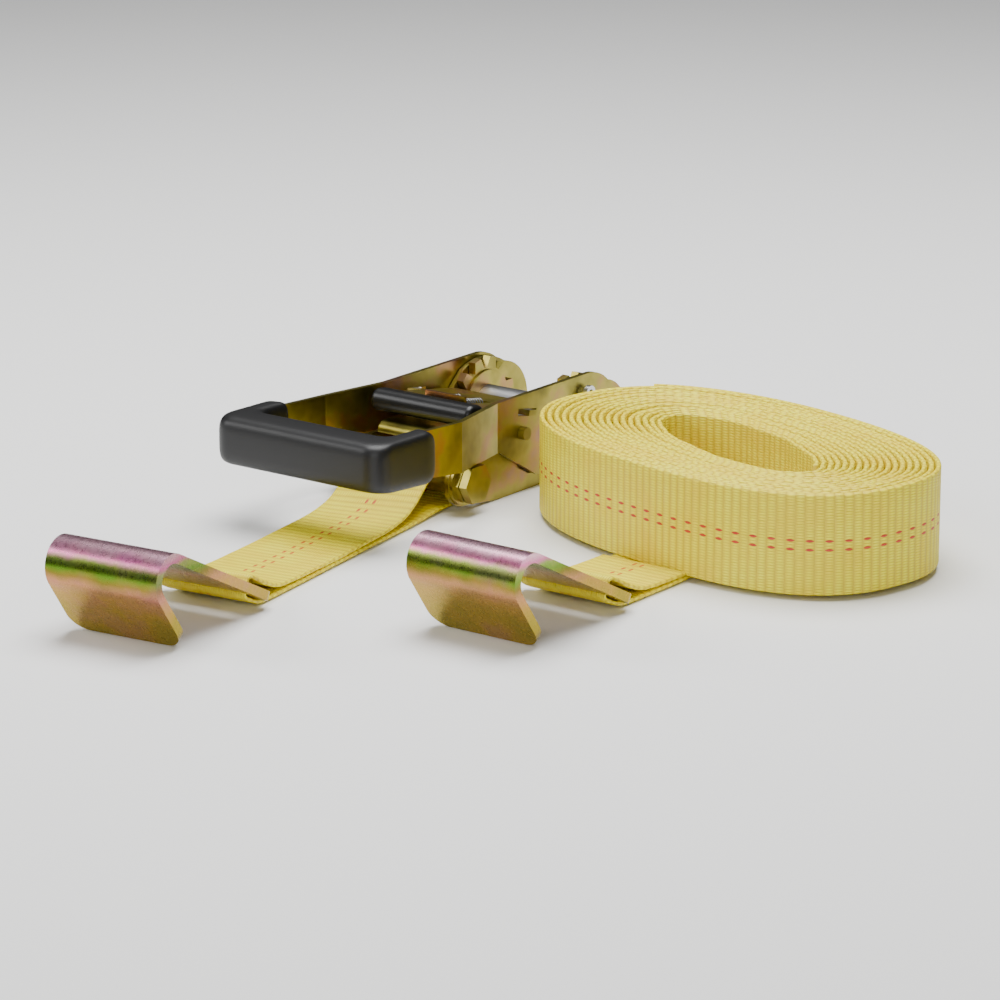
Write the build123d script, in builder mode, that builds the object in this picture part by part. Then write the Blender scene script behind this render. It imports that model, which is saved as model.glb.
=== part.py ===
from build123d import *
import math
import os

os.makedirs("parts", exist_ok=True)

# Ratchet tie down: a ratchet with a short strap and flat hook, and the long strap
# with its own flat hook, rolled up.  Millimetres, +Z up, the floor at Z = 0.

# ---------------------------------------------------------------- where things lie
RATCHET_X = -120.0      # middle of the ratchet, side to side
MANDREL_Y = 173.5       # mandrel axis
MANDREL_Z = 27.0

# ---------------------------------------------------------------- webbing
WEB_W = 51.0            # 2 inch strap
WEB_T = 2.4             # one layer
FLOOR_GAP = 0.2         # strap's underside above the floor
ROLL_LENGTH = 243.5     # roll, long way
ROLL_DEPTH = 146.6      # roll, short way
ROLL_TURN = -13.2       # degrees, how the roll lies in plan
ROLL_AT = (ROLL_LENGTH / 2 - 67.65, 116.1)   # its near end stays clear of the ratchet
ROLL_POWER = 2.4        # 2 is an ellipse, more is squarer
HOLE_LENGTH = 122.0
HOLE_DEPTH = 44.0
HOLE_AT = (61.0, 110.0)
HOLE_TURN = -24.0

# ---------------------------------------------------------------- fits
RUN = 0.05              # radial running fit of a pin in its bore
SIDE_GAP = 0.4          # between plates that move past one another
SLIP = 0.5              # round a piece that slides in a slot

# ---------------------------------------------------------------- plates and spool
THROAT = WEB_W / 2 + 0.6
HUB_T = 1.3
WHEEL_T = 4.5
CHEEK_T = 2.8
PLATE_T = 3.0
WASHER_T = 1.5
PIN_R = 1.5

WHEEL_IN = THROAT + HUB_T
WHEEL_OUT = WHEEL_IN + WHEEL_T
CHEEK_IN = WHEEL_OUT + SIDE_GAP
CHEEK_OUT = CHEEK_IN + CHEEK_T
PLATE_IN = CHEEK_OUT + SIDE_GAP
PLATE_OUT = PLATE_IN + PLATE_T
END_WASHER_IN = PLATE_OUT + SIDE_GAP
PIN_X = END_WASHER_IN + WASHER_T + PIN_R + 0.1

MANDREL_R = 11.0
MANDREL_SLOT = 4.0      # gap between the two halves, for the strap
MANDREL_HALF = PIN_X + 3.0
BORE_R = MANDREL_R + RUN
HUB_R = 19.0
TOOTH_COUNT = 12
TOOTH_TIP_R = 26.0
TOOTH_ROOT_R = 20.5
TOOTH_TIP_W = 5.2
TOOTH_ROOT_W = 8.8
END_WASHER_R = 15.0
SPLIT_PIN_L = 28.0

# ---------------------------------------------------------------- bolt, in the ratchet's side view
BOLT_AT = (-101.5, -10.5)
BOLT_R = 5.97
BOLT_HOLE_R = BOLT_R + 0.08
BOLT_FLATS = 19.0
HEAD_T = 8.0
NUT_T = 10.0
BOLT_WASHER_R = 12.5
BOLT_WASHER_T = 2.0
SLEEVE_R = 8.0

# ---------------------------------------------------------------- lock pawl
LOCK_TRAVEL = 7.0
LOCK_DIR = (0.876, -0.482)       # towards the teeth
LOCK_EAR_AT = (-45.5, -15.2)
LOCK_EAR = (5.0, 4.0)
LOCK_SLOT_W = 6.0
LOCK_SEAT_T = 2.5
LOCK_SPRING_R = 3.0

# ---------------------------------------------------------------- handle and drive pawl
HEAD_R = 26.5
HANDLE_TOP = 26.5
HANDLE_LOW = -0.4
JOGGLE_START = -77.0
JOGGLE_END = -118.0
JOGGLE_OUT = 8.0
GRIP_BACK = -197.0
GRIP_FRONT = -172.0
ARM_FRONT = -147.0
GRIP_HALF = 55.0
ARM_IN = 42.0
GRIP_ROUND = 4.0                 # front ends of the rubber's arms
PIN_AT = (-56.0, 6.4)
CROSS_PIN_R = 3.0
PAWL_T = 3.0
PAWL_TILT = 9.5                  # degrees, rising towards the grip
PAWL_TIP = (-24.3, 11.95)
PAWL_LEN = 61.0
PAWL_HALF = WHEEL_OUT - 0.4
PAWL_BACK = 6.0                  # travel away from the teeth
PAWL_IN = 3.0                    # travel into the teeth
PAWL_EAR = (22.4, 6.0)           # start behind the tip, and length
WINDOW = (26.0, 28.0)            # start behind the tip, and length
WINDOW_HALF = 14.0
DRIVE_SPRING_R = 2.8
BAR_AT = (-87.0, 20.5)
BAR_HALF = 33.0

# ---------------------------------------------------------------- flat hooks
HOOK_W = WEB_W + 13.0
HOOK_T = 4.8
BEND_R = 13.5                    # outside of the bend
BEND_AT = (-8.0, 34.7)           # from the lip's tip, along the hook and up
SHANK_DROP = 27.0                # degrees below level
SHANK_L = 86.9
HOOK_SLOT = (68.0, 74.0)         # along the shank
HOOK_SLOT_W = WEB_W + 3.0
LIP_CORNER = 10.0
TAIL_CORNER = 5.0
SHORT_HOOK_AT = (-81.3, -193.3)
SHORT_HOOK_YAW = 6.0
LONG_HOOK_AT = (52.5, -88.5)
LONG_HOOK_YAW = 0.0


def side(x):
    """Side view of the ratchet: sketch X is +Y and sketch Y is +Z from the mandrel axis."""
    return Plane(origin=(RATCHET_X + x, MANDREL_Y, MANDREL_Z), x_dir=(0, 1, 0), z_dir=(1, 0, 0))


def plan(z):
    """Plan view of the ratchet at height z above the mandrel axis."""
    return Plane(origin=(RATCHET_X, MANDREL_Y, MANDREL_Z + z), x_dir=(1, 0, 0), z_dir=(0, 0, 1))


def unit(a, b):
    """Direction from point a to point b, both in one sketch."""
    length = math.hypot(b[0] - a[0], b[1] - a[1])
    return ((b[0] - a[0]) / length, (b[1] - a[1]) / length)


def touch(point, centre, radius, turn):
    """Where the line from point touches a circle; turn is 1 or -1 for its two sides."""
    gap = math.hypot(centre[0] - point[0], centre[1] - point[1])
    base = math.atan2(centre[1] - point[1], centre[0] - point[0])
    swing = math.asin(radius / gap) * turn
    reach = math.sqrt(gap * gap - radius * radius)
    return (point[0] + reach * math.cos(base + swing), point[1] + reach * math.sin(base + swing))


def save(part, name):
    """Name a piece and write it."""
    part.label = name
    export_step(part, "parts/" + name + ".step")


# ================================================================ frame of the ratchet
lock_angle = math.degrees(math.atan2(LOCK_DIR[1], LOCK_DIR[0]))
slot_length = LOCK_TRAVEL + LOCK_EAR[0] + 2 * 1.5
slot_mid = (LOCK_EAR_AT[0] - LOCK_DIR[0] * LOCK_TRAVEL / 2, LOCK_EAR_AT[1] - LOCK_DIR[1] * LOCK_TRAVEL / 2)
CHEEK_END_R = 13.1
CHEEK_TOP = BOLT_AT[1] + CHEEK_END_R

for hand, side_name in ((1, "near"), (-1, "far")):
    with BuildPart() as cheek:
        with BuildSketch(side(hand * CHEEK_IN)):
            with BuildLine():
                Line((-72, -MANDREL_Z), (28, -MANDREL_Z))
                ThreePointArc((28, -MANDREL_Z), (44.5, -4), (24, 18.5))
                ThreePointArc((24, 18.5), (6, 24.5), (-14, 20.5))
                Line((-14, 20.5), (-34, CHEEK_TOP))
                Line((-34, CHEEK_TOP), (BOLT_AT[0], CHEEK_TOP))
                ThreePointArc(
                    (BOLT_AT[0], CHEEK_TOP),
                    (BOLT_AT[0] - CHEEK_END_R, BOLT_AT[1]),
                    (BOLT_AT[0], BOLT_AT[1] - CHEEK_END_R),
                )
                Line((BOLT_AT[0], BOLT_AT[1] - CHEEK_END_R), (-72, -MANDREL_Z))
            make_face()
            Circle(BORE_R, mode=Mode.SUBTRACT)
            with Locations(BOLT_AT):
                Circle(BOLT_HOLE_R, mode=Mode.SUBTRACT)
            with Locations(slot_mid):
                SlotOverall(slot_length, LOCK_SLOT_W, rotation=lock_angle, mode=Mode.SUBTRACT)
        extrude(amount=hand * CHEEK_T)
    save(cheek.part, "frame_cheek_" + side_name)

with BuildPart() as frame_bridge:
    with BuildSketch(side(-CHEEK_IN)):
        with Locations((-51, -MANDREL_Z + 1.25)):
            Rectangle(30, 2.5)
    extrude(amount=2 * CHEEK_IN)
save(frame_bridge.part, "frame_bridge")

# ---------------------------------------------------------------- anchor bolt
with BuildPart() as anchor_bolt:
    with BuildSketch(side(-CHEEK_OUT - BOLT_WASHER_T - NUT_T - 2)):
        with Locations(BOLT_AT):
            Circle(BOLT_R)
    extrude(amount=2 * (CHEEK_OUT + BOLT_WASHER_T) + NUT_T + 2)
    with BuildSketch(side(CHEEK_OUT + BOLT_WASHER_T)):
        with Locations(BOLT_AT):
            RegularPolygon(BOLT_FLATS / 2, 6, major_radius=False)
    extrude(amount=HEAD_T)
    with BuildSketch(side(CHEEK_OUT + BOLT_WASHER_T + 2.6)):
        with Locations(BOLT_AT):
            Circle(BOLT_FLATS)
            Circle(BOLT_FLATS / 2 - 0.5, mode=Mode.SUBTRACT)
    extrude(amount=0.8, mode=Mode.SUBTRACT)
save(anchor_bolt.part, "anchor_bolt")

with BuildPart() as anchor_nut:
    with BuildSketch(side(-CHEEK_OUT - BOLT_WASHER_T)):
        with Locations(BOLT_AT):
            RegularPolygon(BOLT_FLATS / 2, 6, major_radius=False)
            Circle(BOLT_R + RUN, mode=Mode.SUBTRACT)
    extrude(amount=-NUT_T)
save(anchor_nut.part, "anchor_nut")

with BuildPart() as anchor_washers:
    for hand in (1, -1):
        with BuildSketch(side(hand * CHEEK_OUT)):
            with Locations(BOLT_AT):
                Circle(BOLT_WASHER_R)
                Circle(BOLT_HOLE_R, mode=Mode.SUBTRACT)
        extrude(amount=hand * BOLT_WASHER_T)
save(anchor_washers.part, "anchor_washers")

with BuildPart() as anchor_sleeve:
    with BuildSketch(side(-CHEEK_IN + 0.1)):
        with Locations(BOLT_AT):
            Circle(SLEEVE_R)
            Circle(BOLT_HOLE_R, mode=Mode.SUBTRACT)
    extrude(amount=2 * CHEEK_IN - 0.2)
save(anchor_sleeve.part, "anchor_sleeve")

# ---------------------------------------------------------------- lock pawl, its seat and springs
LOCK_ACROSS = (-LOCK_DIR[1], LOCK_DIR[0])


def lock_point(along, across):
    """Point in the side view, measured from the middle of the lock pawl's ear."""
    return (
        LOCK_EAR_AT[0] + LOCK_DIR[0] * along + LOCK_ACROSS[0] * across,
        LOCK_EAR_AT[1] + LOCK_DIR[1] * along + LOCK_ACROSS[1] * across,
    )


LOCK_REAR = -16.0
LOCK_FRONT = 8.5
LOCK_SPRING_L = 13.8

with BuildPart() as lock_pawl:
    with BuildSketch(side(-WHEEL_OUT)):
        with BuildLine():
            Polyline(
                lock_point(LOCK_REAR, 2),
                lock_point(3.0, 2),
                (-29.5, 1.5),
                (-22.6, 1.5),
                (-22.6, -1.5),
                (-27.0, -1.5),
                (-35.5, -14.0),
                lock_point(LOCK_FRONT, -2),
                lock_point(LOCK_REAR, -2),
                close=True,
            )
        make_face()
    extrude(amount=2 * WHEEL_OUT)
    with BuildSketch(side(-PLATE_IN + 0.3)):
        with Locations(LOCK_EAR_AT):
            Rectangle(*LOCK_EAR, rotation=lock_angle)
    extrude(amount=2 * PLATE_IN - 0.6)
save(lock_pawl.part, "lock_pawl")

seat_along = LOCK_REAR - LOCK_SPRING_L - LOCK_SEAT_T / 2
with BuildPart() as lock_spring_plate:
    with BuildSketch(side(-CHEEK_IN)):
        with Locations(lock_point(seat_along, 0)):
            Rectangle(LOCK_SEAT_T, 11, rotation=lock_angle)
    extrude(amount=2 * CHEEK_IN)
save(lock_spring_plate.part, "lock_spring_plate")

with BuildPart() as lock_springs:
    for x in (-12, 12):
        rear = lock_point(LOCK_REAR - 0.3, 0)
        with BuildSketch(
            Plane(
                origin=(RATCHET_X + x, MANDREL_Y + rear[0], MANDREL_Z + rear[1]),
                x_dir=(1, 0, 0),
                z_dir=(0, -LOCK_DIR[0], -LOCK_DIR[1]),
            )
        ):
            Circle(LOCK_SPRING_R)
        extrude(amount=LOCK_SPRING_L - 0.6)
save(lock_springs.part, "lock_springs")

# ================================================================ spool
half_slot = MANDREL_SLOT / 2
flat_x = math.sqrt(MANDREL_R**2 - half_slot**2)
for hand, half_name in ((1, "upper"), (-1, "lower")):
    with BuildPart() as mandrel:
        with BuildSketch(side(-MANDREL_HALF)):
            with BuildLine():
                Line((-flat_x, hand * half_slot), (flat_x, hand * half_slot))
                ThreePointArc(
                    (flat_x, hand * half_slot), (0, hand * MANDREL_R), (-flat_x, hand * half_slot)
                )
            make_face()
        extrude(amount=2 * MANDREL_HALF)
        with BuildSketch(plan(hand * half_slot)):
            with Locations((PIN_X, 0), (-PIN_X, 0)):
                Circle(PIN_R + RUN)
        extrude(amount=hand * MANDREL_R, mode=Mode.SUBTRACT)
    save(mandrel.part, "mandrel_half_" + half_name)


def half_holes():
    """The two D-shaped holes that the mandrel's halves pass through."""
    Circle(BORE_R, mode=Mode.SUBTRACT)
    Rectangle(2 * BORE_R + 2, MANDREL_SLOT - 2 * RUN)


for hand, side_name in ((1, "near"), (-1, "far")):
    with BuildPart() as wheel:
        with BuildSketch(side(hand * WHEEL_IN)):
            Circle(TOOTH_ROOT_R)
            with PolarLocations(0, TOOTH_COUNT, start_angle=15):
                Polygon(
                    (TOOTH_ROOT_R - 1.5, -TOOTH_ROOT_W / 2),
                    (TOOTH_TIP_R, -TOOTH_TIP_W / 2),
                    (TOOTH_TIP_R, TOOTH_TIP_W / 2),
                    (TOOTH_ROOT_R - 1.5, TOOTH_ROOT_W / 2),
                    align=None,
                )
            half_holes()
        extrude(amount=hand * WHEEL_T)
    save(wheel.part, "ratchet_wheel_" + side_name)

with BuildPart() as hub_collars:
    for hand in (1, -1):
        with BuildSketch(side(hand * THROAT)):
            Circle(HUB_R)
            half_holes()
        extrude(amount=hand * HUB_T)
save(hub_collars.part, "hub_collars")

with BuildPart() as end_washers:
    for hand in (1, -1):
        with BuildSketch(side(hand * END_WASHER_IN)):
            Circle(END_WASHER_R)
            Circle(BORE_R, mode=Mode.SUBTRACT)
        extrude(amount=hand * WASHER_T)
save(end_washers.part, "end_washers")

EYE_R = 4.0
EYE_T = 2.4
with BuildPart() as split_pins:
    for hand in (1, -1):
        with BuildSketch(plan(-SPLIT_PIN_L / 2)):
            with Locations((hand * PIN_X, 0)):
                Circle(PIN_R)
        extrude(amount=SPLIT_PIN_L)
        with BuildSketch(side(hand * PIN_X - EYE_T / 2)):
            with Locations((0, SPLIT_PIN_L / 2 + EYE_R - 1)):
                Circle(EYE_R)
                Circle(EYE_R - 2, mode=Mode.SUBTRACT)
        extrude(amount=EYE_T)
save(split_pins.part, "split_pins")

# ================================================================ handle
GRIP_PLATE_END = GRIP_BACK + 7
handle_plates = []
for hand, side_name in ((1, "near"), (-1, "far")):
    low_touch = touch((-42.2, -19.4), (4, 0), HEAD_R, -1)
    with BuildPart() as handle_plate:
        with BuildSketch(side(hand * (PLATE_IN - 1))):
            with BuildLine():
                Polyline(
                    (4, HANDLE_TOP),
                    (JOGGLE_END, HANDLE_TOP),
                    (ARM_FRONT - 2, 28.2),
                    (GRIP_PLATE_END, 28.2),
                    (GRIP_PLATE_END, 9.0),
                    (ARM_FRONT - 8, 6.0),
                    (ARM_FRONT - 2, 3.2),
                    (JOGGLE_END, HANDLE_LOW),
                    (-75, HANDLE_LOW),
                    (-42.2, -19.4),
                    low_touch,
                )
                ThreePointArc(low_touch, (4 + HEAD_R, 0), (4, HANDLE_TOP))
            make_face()
            Circle(BORE_R, mode=Mode.SUBTRACT)
            with Locations(PIN_AT):
                Circle(CROSS_PIN_R + RUN, mode=Mode.SUBTRACT)
        extrude(amount=hand * (PLATE_T + JOGGLE_OUT + 2))
        with BuildSketch(plan(-60)):
            with BuildLine():
                Polyline(
                    (hand * PLATE_IN, 60),
                    (hand * PLATE_IN, JOGGLE_START),
                    (hand * (PLATE_IN + JOGGLE_OUT), JOGGLE_END),
                    (hand * (PLATE_IN + JOGGLE_OUT), GRIP_BACK - 10),
                    (hand * (PLATE_OUT + JOGGLE_OUT), GRIP_BACK - 10),
                    (hand * (PLATE_OUT + JOGGLE_OUT), JOGGLE_END + 0.29),
                    (hand * PLATE_OUT, JOGGLE_START + 0.29),
                    (hand * PLATE_OUT, 60),
                    close=True,
                )
            make_face()
        extrude(amount=120, mode=Mode.INTERSECT)
        # slot for the drive pawl's ear, long enough for its travel both ways
        ear_front = PAWL_EAR[0] - PAWL_IN - SLIP
        ear_back = PAWL_EAR[0] + PAWL_EAR[1] + PAWL_BACK + SLIP
        tilt = math.radians(PAWL_TILT)
        ear_mid = (ear_front + ear_back) / 2
        with BuildSketch(side(hand * (PLATE_IN - 1))):
            with Locations(
                (PAWL_TIP[0] - ear_mid * math.cos(tilt), PAWL_TIP[1] + ear_mid * math.sin(tilt))
            ):
                Rectangle(ear_back - ear_front, PAWL_T + 2 * SLIP, rotation=-PAWL_TILT)
        extrude(amount=hand * (PLATE_T + 2), mode=Mode.SUBTRACT)
    handle_plates.append(handle_plate.part)
    save(handle_plate.part, "handle_plate_" + side_name)

with BuildPart() as grip_core:
    with BuildSketch(side(-PLATE_IN - JOGGLE_OUT)):
        with Locations((-184, 18.6)):
            Rectangle(6, 18)
    extrude(amount=2 * (PLATE_IN + JOGGLE_OUT))
save(grip_core.part, "grip_core")

with BuildPart() as handle_grip:
    with BuildSketch(plan(-10)):
        with BuildLine():
            Polyline(
                (-GRIP_HALF, GRIP_BACK),
                (GRIP_HALF, GRIP_BACK),
                (GRIP_HALF, ARM_FRONT),
                (ARM_IN, ARM_FRONT),
                (ARM_IN, GRIP_FRONT),
                (-ARM_IN, GRIP_FRONT),
                (-ARM_IN, ARM_FRONT),
                (-GRIP_HALF, ARM_FRONT),
                close=True,
            )
        make_face()
        outer = vertices().filter_by_position(Axis.Y, GRIP_BACK - 1, GRIP_BACK + 1)
        fillet(outer, radius=10)
        inner = vertices().filter_by_position(Axis.Y, GRIP_FRONT - 1, GRIP_FRONT + 1)
        fillet(inner, radius=6)
    extrude(amount=60)
    with BuildSketch(side(-GRIP_HALF - 5)):
        with BuildLine():
            Polyline(
                (GRIP_BACK, 5),
                (GRIP_FRONT, 3.6),
                (ARM_FRONT, 1.8),
                (ARM_FRONT, 30.2),
                (GRIP_FRONT, 31),
                (GRIP_BACK, 31),
                close=True,
            )
        make_face()
        rear = vertices().filter_by_position(Axis.X, GRIP_BACK - 1, GRIP_BACK + 1)
        fillet(rear, radius=9)
    extrude(amount=2 * GRIP_HALF + 10, mode=Mode.INTERSECT)
    front = edges().group_by(Axis.Y)[-1]
    fillet(front, radius=GRIP_ROUND)
    for plate in handle_plates:
        add(plate, mode=Mode.SUBTRACT)
    add(grip_core.part, mode=Mode.SUBTRACT)
save(handle_grip.part, "handle_grip")

with BuildPart() as cross_pin:
    with BuildSketch(side(-PLATE_OUT - 1)):
        with Locations(PIN_AT):
            Circle(CROSS_PIN_R)
    extrude(amount=2 * PLATE_OUT + 2)
    for hand in (1, -1):
        with BuildSketch(side(hand * (PLATE_OUT + 0.2))):
            with Locations(PIN_AT):
                Circle(CROSS_PIN_R + 0.5)
        extrude(amount=hand * 3.8)
save(cross_pin.part, "cross_pin")

# ---------------------------------------------------------------- drive pawl and its release bar
tilt_rad = math.radians(PAWL_TILT)
pawl_plane = Plane(
    origin=(RATCHET_X, MANDREL_Y + PAWL_TIP[0], MANDREL_Z + PAWL_TIP[1]),
    x_dir=(1, 0, 0),
    z_dir=(0, math.sin(tilt_rad), math.cos(tilt_rad)),
)
with BuildPart() as drive_pawl:
    with BuildSketch(pawl_plane):
        with Locations((0, -PAWL_LEN / 2)):
            Rectangle(2 * PAWL_HALF, PAWL_LEN)
        with Locations((0, -PAWL_EAR[0] - PAWL_EAR[1] / 2)):
            Rectangle(2 * (PLATE_OUT + 2.5), PAWL_EAR[1])
        with Locations((0, -WINDOW[0] - WINDOW[1] / 2)):
            Rectangle(2 * WINDOW_HALF, WINDOW[1], mode=Mode.SUBTRACT)
    extrude(amount=PAWL_T / 2, both=True)
save(drive_pawl.part, "drive_pawl")

with BuildPart() as release_bar:
    with BuildSketch(side(-BAR_HALF)):
        with Locations(BAR_AT):
            RectangleRounded(15, 12, 5.5, rotation=-PAWL_TILT)
    extrude(amount=2 * BAR_HALF)
    ends = edges().group_by(Axis.X)
    fillet(ends[0] + ends[-1], radius=3)
    add(drive_pawl.part, mode=Mode.SUBTRACT)
save(release_bar.part, "release_bar")

# ---------------------------------------------------------------- plate that the drive springs push against
FLANGE_HALF = 24.0
FLANGE_END = -93.0
CURL_R = CROSS_PIN_R + 2.2
flange_top = PIN_AT[1] + CURL_R
TAB_FRONT = -70.0
with BuildPart() as drive_spring_plate:
    with BuildSketch(side(-FLANGE_HALF)):
        with Locations(PIN_AT):
            Circle(CURL_R)
        Polygon(
            (PIN_AT[0], flange_top),
            (FLANGE_END, flange_top),
            (FLANGE_END, flange_top - 2),
            (PIN_AT[0], flange_top - 2),
            align=None,
        )
        with BuildLine():
            Line((FLANGE_END, flange_top), (FLANGE_END, flange_top - 2))
            RadiusArc((FLANGE_END, flange_top - 2), (FLANGE_END - 3.6, flange_top - 5.6), -3.6)
            Line((FLANGE_END - 3.6, flange_top - 5.6), (FLANGE_END - 5.6, flange_top - 5.6))
            RadiusArc((FLANGE_END - 5.6, flange_top - 5.6), (FLANGE_END, flange_top), 5.6)
        make_face()
        with Locations(PIN_AT):
            Circle(CROSS_PIN_R + RUN, mode=Mode.SUBTRACT)
    extrude(amount=2 * FLANGE_HALF)
    with BuildSketch(side(-WINDOW_HALF + 1)):
        with Locations((TAB_FRONT - 1, (flange_top + 25) / 2 - 0.5)):
            Rectangle(2, 25 - flange_top + 1)
    extrude(amount=2 * WINDOW_HALF - 2)
save(drive_spring_plate.part, "drive_spring_plate")

window_front = (
    PAWL_TIP[0] - WINDOW[0] * math.cos(tilt_rad),
    PAWL_TIP[1] + WINDOW[0] * math.sin(tilt_rad),
)
drive_spring_l = (window_front[0] - TAB_FRONT) / math.cos(tilt_rad) - 1.1
with BuildPart() as drive_springs:
    for x in (-7, 7):
        with BuildSketch(
            Plane(
                origin=(
                    RATCHET_X + x,
                    MANDREL_Y + window_front[0] - 0.3 * math.cos(tilt_rad),
                    MANDREL_Z + window_front[1] + 0.3 * math.sin(tilt_rad),
                ),
                x_dir=(1, 0, 0),
                z_dir=(0, -math.cos(tilt_rad), math.sin(tilt_rad)),
            )
        ):
            Circle(DRIVE_SPRING_R)
        extrude(amount=drive_spring_l)
save(drive_springs.part, "drive_springs")

# ================================================================ flat hooks
drop = math.radians(SHANK_DROP)
SHANK_TOP = (BEND_AT[0] + BEND_R * math.sin(drop), BEND_AT[1] + BEND_R * math.cos(drop))


def shank(along, up):
    """Point in a hook's side view, along its shank and up from the shank's upper face."""
    return (
        SHANK_TOP[0] + along * math.cos(drop) + up * math.sin(drop),
        SHANK_TOP[1] - along * math.sin(drop) + up * math.cos(drop),
    )


def heading(yaw):
    """Direction in plan of something that points along +Y, turned by yaw degrees."""
    return (-math.sin(math.radians(yaw)), math.cos(math.radians(yaw)))


def crosswise(yaw):
    """Direction in plan at a right angle to the heading, towards +X."""
    return (math.cos(math.radians(yaw)), math.sin(math.radians(yaw)))


def make_hook(at, yaw):
    """One flat hook, its lip's tip on the floor at the point given."""
    ahead = heading(yaw)
    across = crosswise(yaw)
    view = Plane(
        origin=(at[0] - across[0] * HOOK_W / 2, at[1] - across[1] * HOOK_W / 2, 0),
        x_dir=(ahead[0], ahead[1], 0),
        z_dir=(across[0], across[1], 0),
    )
    start = shank(0, 0)
    shank_plane = Plane(
        origin=(at[0] + ahead[0] * start[0], at[1] + ahead[1] * start[0], start[1]),
        x_dir=(across[0], across[1], 0),
        z_dir=(ahead[0] * math.sin(drop), ahead[1] * math.sin(drop), math.cos(drop)),
    )
    lip_touch = touch((0, 0), BEND_AT, BEND_R, 1)
    lip = unit((0, 0), lip_touch)
    inward = (lip[1], -lip[0])
    tip_inner = (inward[0] * HOOK_T, inward[1] * HOOK_T)
    lip_inner = (lip_touch[0] + inward[0] * HOOK_T, lip_touch[1] + inward[1] * HOOK_T)
    with BuildPart() as hook:
        with BuildSketch(view):
            with BuildLine():
                Line((0, 0), lip_touch)
                ThreePointArc(lip_touch, (BEND_AT[0] - BEND_R * 0.3, BEND_AT[1] + BEND_R * math.sqrt(0.91)), start)
                Line(start, shank(SHANK_L, 0))
                Line(shank(SHANK_L, 0), shank(SHANK_L, -HOOK_T))
                Line(shank(SHANK_L, -HOOK_T), shank(0, -HOOK_T))
                inner_r = BEND_R - HOOK_T
                ThreePointArc(
                    shank(0, -HOOK_T),
                    (BEND_AT[0] - inner_r * 0.3, BEND_AT[1] + inner_r * math.sqrt(0.91)),
                    lip_inner,
                )
                Line(lip_inner, tip_inner)
                Line(tip_inner, (0, 0))
            make_face()
        extrude(amount=HOOK_W)
        tail_edges = edges().filter_by(lambda edge: abs(edge.length - HOOK_T) < 0.01).sort_by(Axis.Z)[2:4]
        fillet(tail_edges, radius=TAIL_CORNER)
        lip_edges = edges().filter_by(lambda edge: abs(edge.length - HOOK_T) < 0.01).sort_by(Axis.Z)[0:2]
        fillet(lip_edges, radius=LIP_CORNER)
        with BuildSketch(shank_plane):
            with Locations((0, (HOOK_SLOT[0] + HOOK_SLOT[1]) / 2)):
                RectangleRounded(HOOK_SLOT_W, HOOK_SLOT[1] - HOOK_SLOT[0], 2.5)
        extrude(amount=HOOK_T * 2, both=True, mode=Mode.SUBTRACT)
    return hook.part


save(make_hook(SHORT_HOOK_AT, SHORT_HOOK_YAW), "short_strap_hook")
save(make_hook(LONG_HOOK_AT, LONG_HOOK_YAW), "long_strap_hook")

# ================================================================ straps
LOOP_SLACK = 0.5
LIFT_SLACK = 2.9                 # room above the bar so that the hook can lift
LAYERS_TOP = FLOOR_GAP + 2 * WEB_T + 0.2
BAR_MID = shank((HOOK_SLOT[1] + SHANK_L) / 2, 0)[0]


def hook_loop(end, single_from=None):
    """Side view of the strap's loop round a hook's end bar, measured from the lip's tip.

    The strap is two layers thick up to end, or one layer thick from single_from on.
    """
    leg = HOOK_SLOT[1] - LOOP_SLACK - 0.3
    tail_out = shank(SHANK_L, -HOOK_T - LOOP_SLACK - WEB_T)
    top_near = shank(leg - WEB_T, LIFT_SLACK + WEB_T)
    top_far = shank(SHANK_L + 1.2, 1.0 + WEB_T)
    outline = [
        shank(leg - WEB_T, -HOOK_T - LOOP_SLACK - WEB_T),
        tail_out,
        (tail_out[0] + 8, FLOOR_GAP),
        (end, FLOOR_GAP),
    ]
    if single_from is None:
        outline.append((end, LAYERS_TOP))
    else:
        outline.append((end, FLOOR_GAP + WEB_T))
        outline.append((single_from + 3, FLOOR_GAP + WEB_T))
        outline.append((single_from, LAYERS_TOP))
    outline.append((top_far[0] + 14, LAYERS_TOP))
    outline.append(top_far)
    outline.append(top_near)
    hollow = [
        shank(leg, -HOOK_T - LOOP_SLACK),
        shank(SHANK_L, -HOOK_T - LOOP_SLACK),
        (tail_out[0] + 9, FLOOR_GAP + WEB_T),
        shank(SHANK_L + 1.2, 1.0),
        shank(leg, LIFT_SLACK),
    ]
    return outline, hollow


# ---------------------------------------------------------------- short strap
bolt_world = (RATCHET_X, MANDREL_Y + BOLT_AT[0])
bolt_z = MANDREL_Z + BOLT_AT[1]
hook_ahead = heading(SHORT_HOOK_YAW)
bar_world = (SHORT_HOOK_AT[0] + hook_ahead[0] * BAR_MID, SHORT_HOOK_AT[1] + hook_ahead[1] * BAR_MID)
strap_dir = unit(bar_world, bolt_world)
strap_yaw = math.degrees(math.atan2(-strap_dir[0], strap_dir[1]))
strap_len = math.hypot(bolt_world[0] - bar_world[0], bolt_world[1] - bar_world[1])
loop_in = SLEEVE_R + LOOP_SLACK
loop_out = loop_in + WEB_T
join = -strap_len * 0.55
top_from = (-60.0, LAYERS_TOP)
drape_low = (18.5, FLOOR_GAP)    # the loose loop lies on the floor past the bolt
drape_end = (20.8, FLOOR_GAP + WEB_T)
slit_at = (-42.0, FLOOR_GAP + WEB_T + 0.1)
strap_view = Plane(
    origin=(bolt_world[0], bolt_world[1], 0),
    x_dir=(strap_dir[0], strap_dir[1], 0),
    z_dir=(strap_dir[1], -strap_dir[0], 0),
)
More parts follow.
